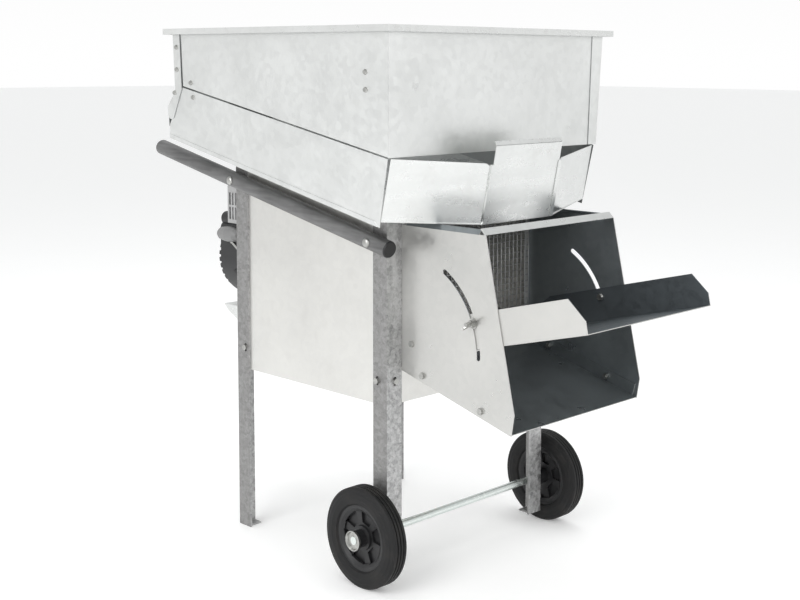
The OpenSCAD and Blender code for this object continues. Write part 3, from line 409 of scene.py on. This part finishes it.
def join_wires(wires):
    """One list of vertices and faces from many closed wires."""
    verts, faces, count = [], [], 0
    for v, f in wires:
        verts.append(v)
        faces += [tuple(i + count for i in face) for face in f]
        count += len(v)
    return np.vstack(verts), faces


def wire_places(low, high):
    """Where the wires' middles lie from low to high, about a pitch apart and inside both ends."""
    count = int((high - low) / MESH_PITCH)
    return [low + WIRE_D / 2 + i * (high - low - WIRE_D) / count for i in range(count + 1)]


def make_mesh_guard():
    """Crossed wires at the stock 12.7 mm pitch, the upright ones in front."""
    low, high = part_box("mesh_guard")
    x = (low[0] + high[0]) / 2
    layer = WIRE_LAYER * WIRE_D / 2
    upright = [wire((x + layer, y, low[2]), (x + layer, y, high[2])) for y in wire_places(low[1], high[1])]
    level = [wire((x - layer, low[1], z), (x - layer, high[1], z)) for z in wire_places(low[2], high[2])]
    verts, faces = join_wires(upright + level)
    obj = mesh_object("mesh_wires", verts, faces, MATERIALS["wire"], smooth=True)
    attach(obj, "frame")
    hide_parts("mesh_guard")


# Ring behind a wheel's spokes: its radii, half its thickness and its flats
WEB_OUTER, WEB_INNER = 53.0 * MM, 17.0 * MM
WEB_HALF = 1.5 * MM
WEB_SIDES = 96


def make_wheel_web(side):
    """Thin ring that closes the windows between a wheel's spokes, at the tyre's middle.
    Its rings of points are (x + r cos t, y + across, z + r sin t)."""
    low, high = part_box("tyre_" + side)
    x, y, z = [(low[i] + high[i]) / 2 for i in range(3)]
    turns = np.arange(WEB_SIDES) * 2 * math.pi / WEB_SIDES
    rings = [(WEB_OUTER, -WEB_HALF), (WEB_OUTER, WEB_HALF), (WEB_INNER, WEB_HALF), (WEB_INNER, -WEB_HALF)]
    verts = [(x + r * math.cos(t), y + across, z + r * math.sin(t)) for r, across in rings for t in turns]
    faces = []
    for k in range(len(rings)):
        a, b = k * WEB_SIDES, (k + 1) % len(rings) * WEB_SIDES
        faces += [(a + i, b + i, b + (i + 1) % WEB_SIDES, a + (i + 1) % WEB_SIDES) for i in range(WEB_SIDES)]
    obj = mesh_object("wheel_web_" + side, verts, faces, MATERIALS["black"], smooth=False)
    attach(obj, "wheel_" + side)


FLOOR_HALF = 40.0
FLOOR_GLOW = 0.16


def make_floor():
    """A white floor that glows a little, so that it reads as white as the photograph's ground."""
    light, dark = FLOOR
    n = Nodes("floor")
    n.shader.inputs["Emission Color"].default_value = grey(1.0)
    n.shader.inputs["Emission Strength"].default_value = FLOOR_GLOW
    material = n.finish(n.mix(n.noise(scale=3.0, detail=2.0), dark, light), rough=0.7, metal=0.0)
    corners = [(-1, -1), (1, -1), (1, 1), (-1, 1)]
    verts = [(x * FLOOR_HALF, y * FLOOR_HALF, 0) for x, y in corners]
    mesh_object("floor", verts, [(0, 1, 2, 3)], material, smooth=False)


# Pale room: colours low and high, and where on the way up the high one is reached
ROOM_LOW, ROOM_HIGH = grey(1.0), rgb(0.70, 0.71, 0.71)
ROOM_HIGH_AT = 0.75
# Square soft boxes: place, aim, width in metres, watts
SOFT_BOXES = {
    "key": ((0.6, -3.6, 2.6), (0, 0, 0.6), 2.4, 75),
    "front": ((3.8, 0.6, 2.2), (0, 0, 0.6), 2.2, 24),
    "top": ((-0.4, 0.3, 3.8), (0, 0, 0.8), 2.6, 40),
}


def soft_box(name, place, aim, width, watts):
    data = bpy.data.lights.new(name, "AREA")
    data.shape = "RECTANGLE"
    data.size = width
    data.size_y = width
    data.energy = watts
    light = bpy.data.objects.new(name, data)
    light.location = place
    light.rotation_euler = (Vector(aim) - Vector(place)).to_track_quat("-Z", "Y").to_euler()
    bpy.context.scene.collection.objects.link(light)


def make_light():
    """A pale room with a greyer ceiling, and three large soft boxes."""
    world = bpy.data.worlds.new("studio")
    bpy.context.scene.world = world
    world.use_nodes = True
    tree = world.node_tree
    where = tree.nodes.new("ShaderNodeTexCoord")
    split = tree.nodes.new("ShaderNodeSeparateXYZ")
    tree.links.new(where.outputs["Generated"], split.inputs["Vector"])
    ramp = tree.nodes.new("ShaderNodeValToRGB")
    tree.links.new(split.outputs["Z"], ramp.inputs["Fac"])
    bottom, top = ramp.color_ramp.elements
    bottom.position = 0.0
    bottom.color = ROOM_LOW
    top.position = ROOM_HIGH_AT
    top.color = ROOM_HIGH
    tree.links.new(ramp.outputs["Color"], tree.nodes["Background"].inputs["Color"])
    tree.nodes["Background"].inputs["Strength"].default_value = 1.0
    for name, values in SOFT_BOXES.items():
        soft_box(name, *values)


def set_render():
    scene = bpy.context.scene
    scene.render.resolution_x = IMAGE_W
    scene.render.resolution_y = IMAGE_H
    scene.view_settings.view_transform = "Standard"
    scene.view_settings.look = "None"
    scene.view_settings.exposure = 0.0


make_camera()
paint_nodes()
make_mesh_guard()
make_wheel_web("right")
make_wheel_web("left")
make_floor()
make_light()
set_render()
